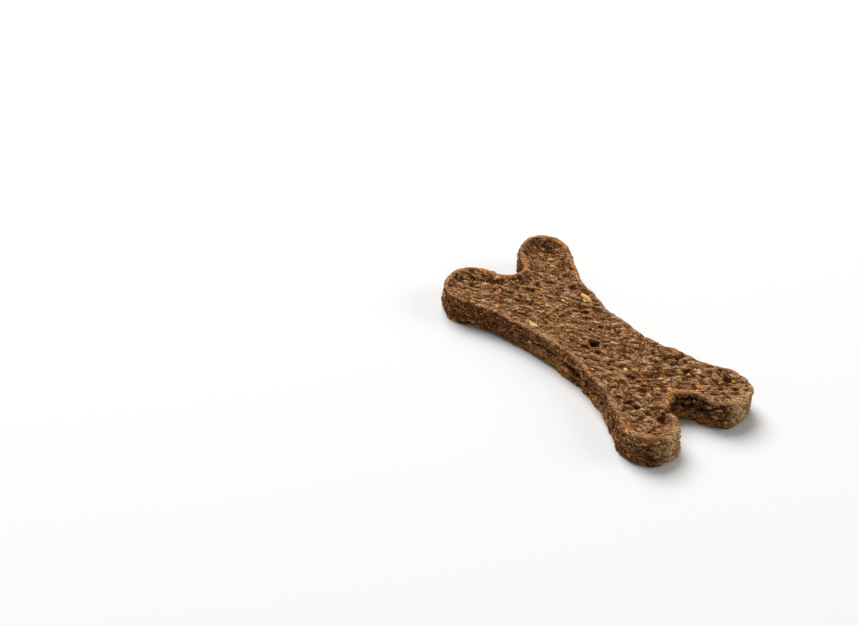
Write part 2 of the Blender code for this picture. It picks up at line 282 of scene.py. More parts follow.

# What makes a point a ridge or a crease: painted light on the ridges, and painted shade in the creases, in
# pits and down the peg hole
CREASE_OF_RELIEF = 0.7
CREASE_OF_SHREDS = 0.6
CREASE_LEAST = 0.15
CREASE_OF_PITS = 0.6
CREASE_OF_HOLE = 2.0
DEEP_PIT = 0.001

# Where fine bits lie: fewer on the rim and walls, or more at the foot of the walls and along the edge
EVEN_RIM_LOSS = 0.8
EVEN_WALL_LOSS = 0.4
GILT_LEAST = 0.5
GILT_OF_FOOT = 1.8
GILT_OF_EDGE = 0.8
GILT_EDGE_REACH = 0.002

# Where the edge is orange and waxy, where a pale bloom lies, and where the meat is redder: x, y, reach
ORANGE_EDGES = (
    (0.0382, -0.0015, 0.0025),
    (0.0385, 0.0010, 0.0030),
    (0.0396, 0.0030, 0.0020),
    (-0.0394, 0.0054, 0.0028),
    (-0.0392, -0.0031, 0.0035),
    (-0.0459, -0.0062, 0.0030),
    (-0.0401, 0.0238, 0.0040),
    (-0.0305, 0.0200, 0.0035),
    (-0.0496, -0.0111, 0.0030),
    (-0.0463, -0.0156, 0.0016),
)
BLOOMS = (
    (0.0507, 0.0150, 0.0036),
    (0.0480, 0.0200, 0.0032),
    (0.0510, -0.0150, 0.0022),
    (0.0500, -0.0110, 0.0018),
)
RED_PLACES = (
    (-0.0145, 0.0078, 0.0016),
    (-0.0108, 0.0077, 0.0018),
)
# Where a wall is painted nearly black as shade under the rim
PAINTED_SHADE_WALLS = (
    (0.0400, 0.0030, 0.0045),
    (0.0450, 0.0066, 0.0050),
    (0.0482, 0.0080, 0.0030),
)
# Where the foot of a wall is amber
AMBER_FEET = (
    (0.0375, 0.0010, 0.0060),
    (0.0430, 0.0055, 0.0045),
    (-0.0050, -0.0140, 0.0100),
    (0.0200, -0.0150, 0.0080),
)

# The meat's fine pattern: the size of one patch of each kind along, across and under its grain,
# how far patches are torn, and how finely
STRAND_SIZE = (0.0034, 0.0016, 0.0016)
FLAKE_SIZE = (0.0016, 0.0006, 0.0006)
CRUMB_SIZE = (0.0006, 0.00035, 0.00035)
LUMP_CELL_SIZE = (0.0026, 0.0013, 0.0013)
GRIT_SIZE = (0.0005, 0.00035, 0.00035)
TORN, GRIT_TORN = 0.9, 0.6
TEAR_SCALE, TEAR_DETAIL = 1500.0, 2.0
STRAND_DETAIL, STRAND_GRAIN = 5.0, 0.72
PATCH_SCALE, PATCH_DETAIL = 125.0, 3.0

# How much the meat is lightened by flakes, crumbs, strands, crags, domes, fine domes, patches and being
# at the right, and what is taken off to bring it to its own brown
# Flakes, crumbs and patches are tones of the meat; strands, crags, domes and fine domes are painted light on
# the tops of the relief and painted shade between them
TONES_AND_PAINTED_RELIEF_LIGHT = (0.62, 0.28, 0.36, 0.62, 0.46, 0.50, 0.50, 0.06)
SHADE_LEVEL = 1.24
MEAT_SHADES = (
    (0.00, (0.070, 0.020, 0.005, 1)),
    (0.22, (0.160, 0.054, 0.014, 1)),
    (0.45, (0.285, 0.113, 0.036, 1)),
    (0.65, (0.410, 0.182, 0.068, 1)),
    (0.82, (0.600, 0.320, 0.145, 1)),
    (1.00, (0.940, 0.650, 0.360, 1)),
)

# The colours laid over the browns, in turn: how strongly, and the colour. The wall, groove and crease colours
# are painted shade
TINTS = {
    "ruddy": (0.34, (0.430, 0.170, 0.076, 1)),
    "lip": (0.70, (0.670, 0.330, 0.145, 1)),
    "waxy": (1.00, (0.820, 0.300, 0.065, 1)),
    "red": (0.70, (0.420, 0.100, 0.024, 1)),
    # painted shade on the walls
    "side": (0.66, (0.120, 0.034, 0.007, 1)),
    # painted shade in the groove and under the rim
    "groove": (0.92, (0.030, 0.007, 0.001, 1)),
    "amber": (0.80, (0.780, 0.320, 0.045, 1)),
    "floury": (0.95, (1.000, 0.670, 0.320, 1)),
    # painted shade in the creases
    "painted_crease_shade": (0.60, (0.055, 0.014, 0.003, 1)),
    "golden": (0.75, (0.880, 0.520, 0.150, 1)),
}
# Painted glints: bright specks laid into the colour as highlights, fewer on the walls
PAINTED_GLINT_STRENGTH = 0.90
PAINTED_GLINT_LOSS_ON_WALLS = 0.35
PAINTED_GLINT_COLOUR = (1.000, 0.700, 0.350, 1)

# Between which values each pattern sets in
STRAND_BAND = (0.36, 0.64)
CRUMB_BAND = (0.25, 0.75)
RUDDY_BAND = (0.52, 0.60)
LIP_BAND = (0.35, 0.80)
LIP_FLECK_BAND = (0.10, 0.90)
WAXY_BAND = (0.45, 0.90)
AMBER_BAND = (0.30, 0.90)
FLOURY_BAND = (0.52, 0.80)
CREASE_BAND = (0.04, 0.46)
GOLDEN_BAND = (0.87, 0.91)
GOLDEN_DOME_BAND = (0.35, 0.60)
GLINT_BAND = (0.73, 0.78)
GLINT_DOT_BAND = (0.60, 0.35)
SHEEN_BAND = (0.50, 0.75)
BIT_GLINT_BAND = (0.50, 0.65)

# Shares of the patterns in the waxy edge, in the bloom and in the bump
WAXY_OF_CRUMBS, WAXY_LEAST = 0.3, 0.5
FLOURY_OF_PATCHES = 0.6
BUMP_OF_STRANDS, BUMP_OF_DOMES, BUMP_OF_FINE = 0.5, 0.9, 0.45

# Painted shade in the creases: how uneven it is, and how dark at the left and how much darker at the right
CREASE_UNEVENNESS = 0.2
CREASE_AT_LEFT = 0.70
CREASE_GAIN_AT_RIGHT = 0.30

# Dull meat with a thin sheen of fat
MEAT_ROUGHNESS = 0.62
GLINT_SMOOTHNESS = 0.20
MEAT_SPECULAR = 0.02
FAT_SHEEN, FAT_ROUGHNESS, FAT_IOR = 0.24, 0.30, 1.45
MEAT_BUMP = 0.00080

# Bits of meal: each has a shade of its own, is a little uneven, and glints in spots
BIT_PATCH_SCALE, BIT_PATCH_DETAIL, BIT_PATCH_LEVEL = 2000.0, 2.0, 0.25
BIT_GLINT_SCALE, BIT_GLINT_DETAIL = 1.0 / 0.0003, 1.0
BIT_SHADE_SPREAD, BIT_UNEVENNESS = 0.75, 0.5
BIT_SPECULAR, BIT_SMOOTHNESS = 0.15, 0.15
BIT_SHEEN, BIT_SHEEN_ROUGHNESS = 0.25, 0.22
BIT_BUMP, BIT_BUMP_STRENGTH = 0.00015, 0.8

# The kinds of bits: the name of each finish, its shades and its roughness
BIT_LOOKS = {
    "golden": ("golden_grain", (
        (0.0, (0.58, 0.27, 0.065, 1)), (0.5, (0.80, 0.44, 0.12, 1)), (1.0, (0.92, 0.65, 0.27, 1))), 0.45),
    "orange": ("orange_fleck", (
        (0.0, (0.46, 0.140, 0.028, 1)), (0.6, (0.66, 0.240, 0.052, 1)), (1.0, (0.78, 0.34, 0.095, 1))), 0.45),
    "cream": ("cream_flake", (
        (0.0, (0.70, 0.46, 0.18, 1)), (0.6, (0.82, 0.60, 0.28, 1)), (1.0, (0.90, 0.73, 0.42, 1))), 0.60),
    "brown": ("brown_crumb", (
        (0.0, (0.180, 0.068, 0.022, 1)), (0.35, (0.310, 0.130, 0.050, 1)), (0.6, (0.420, 0.200, 0.088, 1)),
        (0.8, (0.480, 0.245, 0.120, 1)), (1.0, (0.640, 0.330, 0.150, 1))), 0.60),
}

# Finer bits over the whole surface: their kind, how many a square metre, where most of them lie, how
# clumped they are, how short and long, and how broad for their length
STREWN_BY = ("Density", "Where", "Clump", "Shortest", "Longest", "Breadth")
STREWN = {
    "brown_crumbs": ("brown", 60000.0, "even", 0.8, 0.0010, 0.0027, 0.55),
    "golden_crumbs": ("golden", 170000.0, "gilt", 0.9, 0.00028, 0.0007, 0.65),
    "golden_flakes": ("golden", 7000.0, "even", 0.9, 0.0010, 0.0026, 0.40),
    "golden_shreds": ("golden", 14000.0, "gilt", 0.9, 0.0009, 0.0018, 0.25),
    "orange_flecks": ("orange", 8000.0, "even", 0.8, 0.0005, 0.0016, 0.55),
    "cream_flakes": ("cream", 26000.0, "even", 0.8, 0.0003, 0.0008, 0.70),
}

# The shapes of bits. A large grain is rounder and sunk deeper than a fine one
GRAIN_SHAPE = {"Height": 0.36, "Sunk": -0.17, "Uneven": 0.0018, "Fineness": 3}
FINE_SHAPE = {"Height": 0.45, "Sunk": -0.12, "Uneven": 0.0004, "Fineness": 1}
# How far over the ground bits stay, how uneven and clumped they are, which ways they run, and their seeds
BIT_LIFT = 0.00005
UNEVEN_SCALE, UNEVEN_DETAIL = 1700.0, 1.0
CLUMP_SCALE, CLUMP_DETAIL = 260.0, 2.0
CLUMP_BAND = (0.35, 0.62)
ALONG_LOW, ALONG_HIGH = (0.45, 0.0, -0.35), (1.0, 0.95, 0.35)
BREADTH_SPREAD = (0.7, 1.3)
ALONG_SEED, BREADTH_SEED, SHADE_SEED = 7, 3, 11
FIRST_STREWN_SEED = 20

# The camera: where the middle of the shown face lies in the photograph, and the view of it
PHOTO = (858, 626)
MIDDLE_PIXEL = (594.0, 337.5)
FOCAL_PIXELS = 2600.0
PIXELS_A_METRE = 3223.5
AZIMUTH = math.radians(47.27)
ELEVATION = math.radians(35.80)
ROLL = math.radians(5.69)
FACE_HEIGHT = 0.0081
SENSOR = 36.0
NEAREST_SEEN = 0.01

# The studio. Each lamp's way is how far up, right and back it stands, as the camera sees it;
# then come its distance, size and power
FLOOR_SIZE = 6.0
FLOOR_DROP = 0.00005
FLOOR_COLOUR = (0.93, 0.93, 0.925, 1)
FLOOR_ROUGHNESS = 0.8
LAMPS = {
    "key": ((0.95, -0.25, 0.05), 2.4, 1.6, 62.0),
    "fill": ((0.35, 1.0, 0.25), 2.0, 1.2, 12.0),
}
SKY_COLOUR = (1, 1, 1, 1)
SKY_STRENGTH = 0.18


def smooth(value):
    """Runs from 0 to 1 with level ends, and stays at them beyond."""
    value = min(max(value, 0.0), 1.0)
    return value * value * (3.0 - 2.0 * value)


def hump(distance, reach):
    """A bell that is 1 at no distance and dies away past its reach."""
    return math.exp(-(distance / reach) ** 2)


def hollow_centre(knob, following, radius, outward):
    """Centre of the arc that touches two knobs from outside, on the given side of them."""
    start, end = np.array(knob[:2]), np.array(following[:2])
    span = np.linalg.norm(end - start)
    way = (end - start) / span
    to_start, to_end = knob[2] + radius, following[2] + radius
    along = (span ** 2 + to_start ** 2 - to_end ** 2) / (2 * span)
    side = np.array((-way[1], way[0]))
    side *= math.copysign(1.0, side @ np.array(outward))
    return start + way * along + side * math.sqrt(to_start ** 2 - along ** 2)


def arc(centre, radius, start, end, step):
    """Points round an arc from one angle to another, without the last."""
    count = max(2, math.ceil(abs(end - start) * radius / step))
    angles = np.linspace(start, end, count, endpoint=False)
    return [(centre[0] + radius * math.cos(a), centre[1] + radius * math.sin(a)) for a in angles]


def bearing(origin, target):
    """Angle of the way from one point to another."""
    return math.atan2(target[1] - origin[1], target[0] - origin[0])


def outline(step):
    """The closed outline, anticlockwise: a round arc over each knob, then the hollow after it."""
    following = KNOBS[1:] + KNOBS[:1]
    centres = [hollow_centre(knob, after, *hollow)
               for knob, after, hollow in zip(KNOBS, following, HOLLOWS)]
    points = []
    for i, (knob, after, (radius, _)) in enumerate(zip(KNOBS, following, HOLLOWS)):
        start, end = bearing(knob, centres[i - 1]), bearing(knob, centres[i])
        points += arc(knob, knob[2], start, end + math.tau * (end < start), step)
        start, end = bearing(centres[i], knob), bearing(centres[i], after)
        points += arc(centres[i], radius, start, end - math.tau * (end > start), step)
    return points


class Edge:
    """The outline as a place to measure from."""

    def __init__(self):
        self.points = [Vector(p) for p in outline(MEASURE_STEP)]
        self.tree = kdtree.KDTree(len(self.points))
        for i, point in enumerate(self.points):
            self.tree.insert(point.to_3d(), i)
        self.tree.balance()

    def normal(self, i):
        """The way straight out of the outline at one of its points."""
        way = self.points[(i + 1) % len(self.points)] - self.points[i - 1]
        return Vector((way.y, -way.x)).normalized()

    def measure(self, x, y):
        """How far inside the edge a point lies, and the way out."""
        nearest, i, _ = self.tree.find((x, y, 0.0))
        out = self.normal(i)
        return (nearest.xy - Vector((x, y))).dot(out), out


def nearness(x, y, knob, reach):
    """1 at a knob's tip, falling to 0 over the reach."""
    knob_x, knob_y, radius = knob[:3]
    stretch = 1.0 + radius / math.hypot(knob_x, knob_y)
    return smooth(1.0 - math.hypot(x - knob_x * stretch, y - knob_y * stretch) / reach)


def swells(places, x, y):
    """Height of some soft bumps: each has a place, a reach and a height."""
    return sum(height * hump(math.hypot(x - px, y - py), reach) for px, py, reach, height in places)


def curl(x, y):
    """How far the slab is bent up here by the knobs' curled tips."""
    return sum(knob[3] * nearness(x, y, knob, CURL_REACH) for knob in KNOBS)


def swell(x, y):
    """How much thicker the slab is here than at the waist."""
    return sum(knob[4] * nearness(x, y, knob, CURL_REACH) for knob in KNOBS)


def fibre_place(x, y, z):
    """A place measured along and across the grain of the meat, which wavers."""
    waver = WAVER * noise.noise(Vector((x, y, z)) / WAVER_LENGTH)
    along = x * math.cos(FOLD_TURN) + y * math.sin(FOLD_TURN)
    across = y * math.cos(FOLD_TURN) - x * math.sin(FOLD_TURN) + waver
    return along, across


def turning(x, left, right):
    """A value that changes from the left of the bone to the right."""
    return left + (right - left) * smooth((x - FOLD_CHANGE[0]) / (FOLD_CHANGE[1] - FOLD_CHANGE[0]))


def ridges(along, across, depth, long, short, x):
    """Rounded ridges with sharp creases between them, long at the left and short at the right."""
    long_ridge = abs(noise.noise(Vector((along / long, across, depth))))
    short_ridge = abs(noise.noise(Vector((along / short, across, depth))))
    return turning(x, long_ridge, short_ridge)


def folds(x, y, z):
    """Rounded folds with sharp creases between them, about zero on average."""
    along, across = fibre_place(x, y, z)
    fold = ridges(along, across / FOLD_BREADTH, z / FOLD_BREADTH + FOLD_SEED, LONG_FOLD, SHORT_FOLD, x)
    return turning(x, *FOLD_HEIGHTS) * (fold ** FOLD_ROUNDNESS - FOLD_MEAN)


def lumps(x, y, z):
    """Broad swells and hollows."""
    return LUMP_HEIGHT * noise.noise(Vector((x, y, z + LUMP_SEED)) / LUMP_SIZE)


def from_peg(x, y):
    """How far a point of the shown face lies from the peg hole's middle: 1 at the hole's edge."""
    return math.hypot((x - PEG_PLACE[0]) / PEG_LENGTHENING, y - PEG_PLACE[1]) / PEG_RADIUS


def ring(x, y):
    """1 along the raised ring round the peg hole."""
    return hump(from_peg(x, y) - RING_REACH, RING_BREADTH)


def shown_face(x, y, inside):
    """How far the shown face lies over the flat slab's."""
    change = RIM_CHANGE * noise.noise(Vector((x / RIM_CHANGE_LENGTH, y / RIM_CHANGE_LENGTH, RIM_SEED)))
    lip = swells(LIPS, x, y)
    past = max(inside - RIM_INSET - LIP_SPREAD * lip, 0.0)
    rim = (RIM_RISE * (RIM_EVENNESS + change) + lip) * hump(past, RIM_BREADTH)
    dish = DISH_DEPTH * smooth(past / DISH_REACH) + swells(BOWLS, x, y) * smooth(past / BOWL_REACH)
    calm = 1.0 - RIM_CALM * (1.0 - smooth(inside / RIM_CALM_REACH))
    rim += RING_RISE * ring(x, y)
    return rim - dish + calm * folds(x, y, THICKNESS) + lumps(x, y, THICKNESS) - swells(PITS, x, y)


def underside(x, y):
    """How far the underside lies over the ground before it is pressed flat."""
    clear = smooth(math.dist((x, y), REST_PLACE) / REST_REACH - 1.0)
    return -UNDERSIDE_SHARE * clear * (folds(x, y, 0.0) + lumps(x, y, 0.0)) - PRESS


def wall(x, y, z, height):
    """How far a wall stands out of the outline, at a height from 0 to 1."""
    groove = (GROOVE_DEPTH + swells(UNDERCUTS, x, y)) * hump(height - GROOVE_HEIGHT, GROOVE_BREADTH)
    belly = BELLY * math.sin(math.pi * height)
    layer = noise.noise(Vector((x / LAYER_LENGTH, y / LAYER_LENGTH, z / LAYER_HEIGHT + LAYER_SEED)))
    foot = (1.0 - height) * (FOOT_SPREAD * nearness(x, y, KNOBS[3], FOOT_REACH) + swells(FEET, x, y))
    return belly - groove + foot + LAYER_DEPTH * layer + WALL_SHARE_OF_FOLDS * folds(x, y, z)


def wander(x, y):
    """How far the cut edge strays from the outline."""
    stray = WANDER * noise.noise(Vector((x / WANDER_LENGTH, y / WANDER_LENGTH, WANDER_SEED)))
    stray += NICK * noise.noise(Vector((x / NICK_LENGTH, y / NICK_LENGTH, NICK_SEED)))
    return stray - swells(DENTS, x, y)


def form(point, edge):
    """Moves a point of the flat slab to its place on the dried bone."""
    x, y, z = point
    inside, out = edge.measure(x, y)
    height = min(max(z / THICKNESS, 0.0), 1.0)
    top = shown_face(x, y, inside)
    bottom = underside(x, y)
    stand_out = smooth(1.0 - inside / WALL_REACH) * wall(x, y, z, height)
    stray = wander(x, y) - height ** 2 * swells(SETBACKS, x, y)
    stand_out += smooth(1.0 - inside / WANDER_REACH) * stray
    rise = curl(x, y) + bottom + (swell(x, y) + top - bottom) * height
    return Vector((x + out.x * stand_out, y + out.y * stand_out, max(0.0, z + rise)))


def crinkled_place(x, y, z):
    """A place along and across the grain of the meat, crinkled as the strands are."""
    along, across = fibre_place(x, y, z)
    crinkle = noise.noise_vector(Vector((x, y, z)) / CRINKLE_LENGTH)
    return along + CRINKLE * crinkle.x, across + CRINKLE * crinkle.y


def strands(x, y, z):
    """Strands of mince, 0 in the crevices between them and about 1 on top."""
    along, across = crinkled_place(x, y, z)
    depth = z / STRAND_BREADTH + STRAND_SEED
    ridge = ridges(along, across / STRAND_BREADTH, depth, LONG_STRAND, SHORT_STRAND, x)
    return min(1.0, STRAND_FULLNESS * ridge) ** STRAND_ROUNDNESS


def shreds(x, y, z):
    """Finer shreds across the strands, about 0 on average."""
    along, across = crinkled_place(x, y, z)
    place = (along / SHRED_LENGTH, across / SHRED_BREADTH, z / SHRED_BREADTH + SHRED_SEED)
    return noise.noise(Vector(place))


def strata(x, y, z):
    """Thin layers that lie along the walls, 0 in the cracks between them."""
    place = (x / STRATUM_LENGTH, y / STRATUM_LENGTH, z / STRATUM_HEIGHT + STRATUM_SEED)
    return min(1.0, STRATUM_FULLNESS * abs(noise.noise(Vector(place)))) ** STRATUM_ROUNDNESS


def evaluated_mesh(item):
    """The item's mesh with its modifiers worked in."""
    bpy.context.view_layer.update()
    return bpy.data.meshes.new_from_object(item.evaluated_get(bpy.context.evaluated_depsgraph_get()))


def put(name, data):
    """Makes an object of some data, in the scene."""
    item = bpy.data.objects.new(name, data)
    bpy.context.scene.collection.objects.link(item)
    return item


def bake(item):
    """Works the item's modifiers into its mesh."""
    mesh = evaluated_mesh(item)
    item.modifiers.clear()
    item.data = mesh


def flat_slab():
    """The cut outline as a slab with rounded edges, from the ground up."""
    curve = bpy.data.curves.new("outline", "CURVE")
    curve.dimensions = "2D"
    curve.fill_mode = "BOTH"
    curve.extrude = THICKNESS / 2 - EDGE_ROUND
    curve.bevel_depth = EDGE_ROUND
    curve.bevel_resolution = EDGE_ROUND_STEPS
    curve.offset = -EDGE_ROUND
    points = outline(ARC_STEP)
    spline = curve.splines.new("POLY")
    spline.points.add(len(points) - 1)
    for target, (x, y) in zip(spline.points, points):
        target.co = (x, y, 0.0, 1.0)
    spline.use_cyclic_u = True
    drawn = put("outline", curve)
    mesh = evaluated_mesh(drawn)
    bpy.data.objects.remove(drawn)
    sheet = bmesh.new()
    sheet.from_mesh(mesh)
    bmesh.ops.remove_doubles(sheet, verts=sheet.verts, dist=WELD)
    sheet.transform(Matrix.Translation((0, 0, THICKNESS / 2)))
    sheet.to_mesh(mesh)
    sheet.free()
    return put("mince", mesh)


def peg():
    """The tapered peg that the hole near the middle is the print of."""
    mesh = bpy.data.meshes.new("peg")
    shape = bmesh.new()
    bmesh.ops.create_cone(
        shape, cap_ends=True, segments=PEG_SIDES, radius1=PEG_END_RADIUS,
        radius2=2 * PEG_RADIUS - PEG_END_RADIUS, depth=2 * PEG_DEPTH)
    lean = Matrix.Rotation(PEG_LEAN, 4, "Y") @ Matrix.Diagonal((PEG_LENGTHENING, 1.0, 1.0, 1.0))
    shape.transform(Matrix.Translation((*PEG_PLACE, THICKNESS)) @ lean)
    shape.to_mesh(mesh)
    shape.free()
    return put("peg", mesh)


def positions(mesh):
    """The mesh's points as an array."""
    flat = np.empty(len(mesh.vertices) * 3)
    mesh.vertices.foreach_get("co", flat)
    return flat.reshape(-1, 3)


def place_points(mesh, points):
    """Puts the mesh's points where an array says."""
    mesh.vertices.foreach_set("co", np.ascontiguousarray(points, dtype=np.float32).ravel())
    mesh.update()


def normals(mesh):
    """The mesh's point normals as an array."""
    flat = np.empty(len(mesh.vertices) * 3, dtype=np.float32)
    mesh.vertex_normals.foreach_get("vector", flat)
    return flat.reshape(-1, 3)


def keep_inside(mesh, lift=0.0):
    """Holds the mesh within the frame's box, and as far above the ground as the lift says."""
    low, high = (np.array(corner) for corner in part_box("bone"))
    low[2] += lift
    place_points(mesh, np.clip(positions(mesh), low, high))


def write_attribute(mesh, name, values):
    """Stores a number for each point of the mesh."""
    kept = mesh.attributes.new(name, "FLOAT", "POINT")
    kept.data.foreach_set("value", np.asarray(values, dtype=np.float32))


def ramp(values, gain, start):
    """Shares from 0 to 1: the values times a gain, less a start."""
    return np.clip(gain * values - start, 0, 1)


def at_each(flat, measure):
    """What a measure of x and y gives at each point of the flat slab."""
    return np.array([measure(x, y) for x, y, _ in flat])


def spots(flat, places):
    """At each point of the flat slab, 1 in the middle of any of some places, dying away past them."""
    return at_each(flat, lambda x, y: max(
        hump(math.hypot(x - px, y - py), reach) for px, py, reach in places))


def pegged_slab():
    """The flat slab with the peg's hole in it, as an even net of points."""
    slab = flat_slab()
    print_of = peg()
    cut = slab.modifiers.new("peg_hole", "BOOLEAN")
    cut.operation = "DIFFERENCE"
    cut.object = print_of
    cut.solver = "EXACT"
    grid = slab.modifiers.new("grid", "REMESH")
    grid.mode = "VOXEL"
    grid.voxel_size = VOXEL
    bake(slab)
    bpy.data.objects.remove(print_of)
    return slab


def mince_body(edge):
    """The bone itself, with its fine relief, and what its finish needs to know of each point."""
    noise.seed_set(CRINKLE_SEED)
    body = pegged_slab()
    mesh = body.data
    flat = positions(mesh)
    inside = at_each(flat, lambda x, y: edge.measure(x, y)[0])
    formed = np.array([form(point, edge) for point in flat])
    formed[:, :2] -= (formed.min(axis=0) + formed.max(axis=0))[:2] / 2
    place_points(mesh, formed)
    upright = normals(mesh)
    side = ramp(1.0 - np.abs(upright[:, 2]), *WALL_RAMP)
    up = np.clip(flat[:, 2] / THICKNESS, 0, 1)
    strand, layer, shred = (
        np.array([pattern(*point) for point in flat]) for pattern in (strands, strata, shreds))

    crest = LIP_INSET + LIP_SPREAD * at_each(flat, lambda x, y: swells(LIPS, x, y))
    lip = ramp(up, *LIP_RAMP)
    rim = np.exp(-(np.maximum(inside - crest, 0) / LIP_BREADTH) ** 2) * lip
    rough = at_each(flat, lambda x, y: smooth((ROUGH_END - x) / ROUGH_REACH) * smooth(-y / ROUGH_REACH))
    rim *= 1 - ROUGH_LOSS * rough
    rim = np.maximum(rim, at_each(flat, ring) * lip)
    hole = at_each(flat, lambda x, y: hump(from_peg(x, y), HOLE_REACH)) * ramp(up, *HOLE_RAMP)
    depth = np.clip((THICKNESS - flat[:, 2]) / HOLE_FADE - HOLE_START, 0, 1)
    brink = np.exp(-(inside / BRINK_BREADTH) ** 2) * ramp(up, *BRINK_RAMP) * (1 - ROUGH_LOSS * rough)

    height = at_each(flat, lambda x, y: turning(x, *STRAND_HEIGHTS))
    relief = height * (strand - RELIEF_MEAN) * (1 - side) + STRATUM_DEPTH * (layer - RELIEF_MEAN) * side
    relief = (relief + SHRED_HEIGHT * shred) * (1 - BRINK_CALM * brink) * (1 - hole)
    place_points(mesh, formed + upright * relief[:, None])
    keep_inside(mesh)

    # Painted light and shade: crag is high on ridges and low in creases, pits and down the peg hole, and the
    # finish lightens and darkens the colour by it
    pit = at_each(flat, lambda x, y: swells(PITS, x, y)) / DEEP_PIT
    crag = CREASE_OF_RELIEF * (strand * (1 - side) + layer * side) + CREASE_OF_SHREDS * shred + CREASE_LEAST
    crag -= CREASE_OF_PITS * pit * up + CREASE_OF_HOLE * hole * depth
    # Painted shade on the walls: dark along the groove, most where it is undercut, and nearly black under the
    # rim in some places
    undercut = at_each(flat, lambda x, y: GROOVE_DEPTH + swells(UNDERCUTS, x, y)) / DEEPEST_GROOVE
    groove = side * undercut * np.exp(-((up - GROOVE_HEIGHT) / GROOVE_BREADTH) ** 2)
    painted_wall_shadow = spots(flat, PAINTED_SHADE_WALLS)
    under_rim = ramp(side, *DARK_RAMP) * np.clip((DARK_TOP - up) / DARK_TOP_FADE, 0, 1)
    painted_wall_shadow *= under_rim * np.clip((up - DARK_FOOT) / DARK_FOOT, 0, 1)
    amber = spots(flat, AMBER_FEET)
    amber *= side * np.clip(AMBER_TOP - AMBER_FADE * up, 0, 1)
    gilt = GILT_LEAST + GILT_OF_FOOT * side * (1 - up) ** 2
    gilt += GILT_OF_EDGE * np.exp(-inside / GILT_EDGE_REACH) * up
    for name, values in {
            "crag": np.clip(crag, 0, 1),
            "rim": rim,
            "side": side * (1 - hole),
            # painted shade in the grooves and under the rim
            "groove": np.clip(np.maximum(groove, painted_wall_shadow), 0, 1),
            "amber": np.maximum(amber, AMBER_HOLE * hole * side * (1 - depth)),
            "warm": spots(flat, ORANGE_EDGES),
            "bloom": spots(flat, BLOOMS),
            "red": spots(flat, RED_PLACES),
            "even": (1 - EVEN_RIM_LOSS * rim) * (1 - hole) * (1 - EVEN_WALL_LOSS * side),
            "gilt": gilt,
    }.items():
        write_attribute(mesh, name, values)
    mesh.shade_smooth()
    return body


class Value:
    """What a node gives. Arithmetic on it adds the nodes that work it out."""

    def __init__(self, tree, socket):
        self.tree = tree
        self.socket = socket

    def worked(self, operation, first, second):
        """The result of a Math node on two numbers."""
        return self.tree.add("ShaderNodeMath", {"operation": operation}, {0: first, 1: second})

    def __add__(self, other):
        return self.worked("ADD", self, other)

    __radd__ = __add__

    def __sub__(self, other):
        return self.worked("SUBTRACT", self, other)

    def __rsub__(self, other):
        return self.worked("SUBTRACT", other, self)

    def __mul__(self, other):
        return self.worked("MULTIPLY", self, other)

    __rmul__ = __mul__


class Nodes:
    """A tree whose nodes are added by name."""

    def __init__(self, tree):
        self.nodes = tree.nodes
        self.links = tree.links

    def fill(self, node, sockets):
        """Sets or links a node's sockets, each named by its number, name or identifier."""
        for key, value in sockets.items():
            found = socket_of(node.inputs, key)
            if isinstance(value, Value):
                self.links.new(value.socket, found)
            else:
                found.default_value = value

    def add(self, kind, settings, sockets, output=0):
        """Adds a node with its settings, and gives one of its outputs."""
        node = self.nodes.new(kind)
        for key, value in settings.items():
            if key == "stops":
                set_stops(node.color_ramp, value)
            else:
                setattr(node, key, value)
        self.fill(node, sockets)
        return Value(self, socket_of(node.outputs, output))

    def cloud(self, place, scale, detail, roughness=0.5, output="Fac"):
        """Soft noise, with about so many patches to a unit of the place."""
        return self.add(
            "ShaderNodeTexNoise", {},
            {"Vector": place, "Scale": scale, "Detail": detail, "Roughness": roughness}, output)


class Finish(Nodes):
    """A material, with the patterns that it is made of."""

    def __init__(self, name):
        self.material = bpy.data.materials.new(name)
        self.material.use_nodes = True
        super().__init__(self.material.node_tree)
        self.shader = self.nodes["Principled BSDF"]
        self.place = self.add("ShaderNodeTexCoord", {}, {}, "Object")

    def attribute(self, name):
        """A number stored at each point of the piece."""
        return self.add("ShaderNodeAttribute", {"attribute_name": name}, {}, "Fac")

    def stretched(self, size):
        """The place on the piece, measured in patches of this size along and across the grain."""
        return self.add(
            "ShaderNodeMapping", {"vector_type": "TEXTURE"},
            {"Vector": self.place, "Rotation": (0, 0, FOLD_TURN), "Scale": size})

    def ragged(self, size, torn):
        """A stretched place that wanders, so that cells laid on it have torn edges."""
        drift = self.cloud(self.place, TEAR_SCALE, TEAR_DETAIL, output="Color")
        return self.add(
            "ShaderNodeVectorMath", {"operation": "MULTIPLY_ADD"},
            {0: drift, 1: (torn, torn, torn), 2: self.stretched(size)})

    def cells(self, place, output):
        """Cells laid on a place, one to each unit of it: the tone of each, or the way from its middle."""
        return self.add("ShaderNodeTexVoronoi", {}, {"Vector": place, "Scale": 1.0}, output)

    def between(self, value, low, high):
        """0 below one value, 1 above another, and smooth between."""
        return self.add(
            "ShaderNodeMapRange", {"interpolation_type": "SMOOTHSTEP"},
            {"Value": value, "From Min": low, "From Max": high})

    def mix(self, share, first, second):
        """A colour between two."""
        return self.add(
            "ShaderNodeMix", {"data_type": "RGBA"},
            {"Factor_Float": share, "A_Color": first, "B_Color": second}, "Result_Color")

    def bump(self, height, distance, strength):
        """Tips the surface by a height pattern."""
        normal = self.add(
            "ShaderNodeBump", {}, {"Height": height, "Distance": distance, "Strength": strength})
        self.fill(self.shader, {"Normal": normal})


def socket_of(sockets, key):
    """The socket with this number, identifier or name."""
    if isinstance(key, int):
        return sockets[key]
    for socket in sockets:
        if socket.identifier == key:
            return socket
    return sockets[key]


def set_stops(ramp, stops):
    """Gives a colour ramp its stops."""
    while len(ramp.elements) > 1:
        ramp.elements.remove(ramp.elements[-1])
    ramp.elements[0].position, ramp.elements[0].color = stops[0]
    for position, colour in stops[1:]:
        ramp.elements.new(position).color = colour


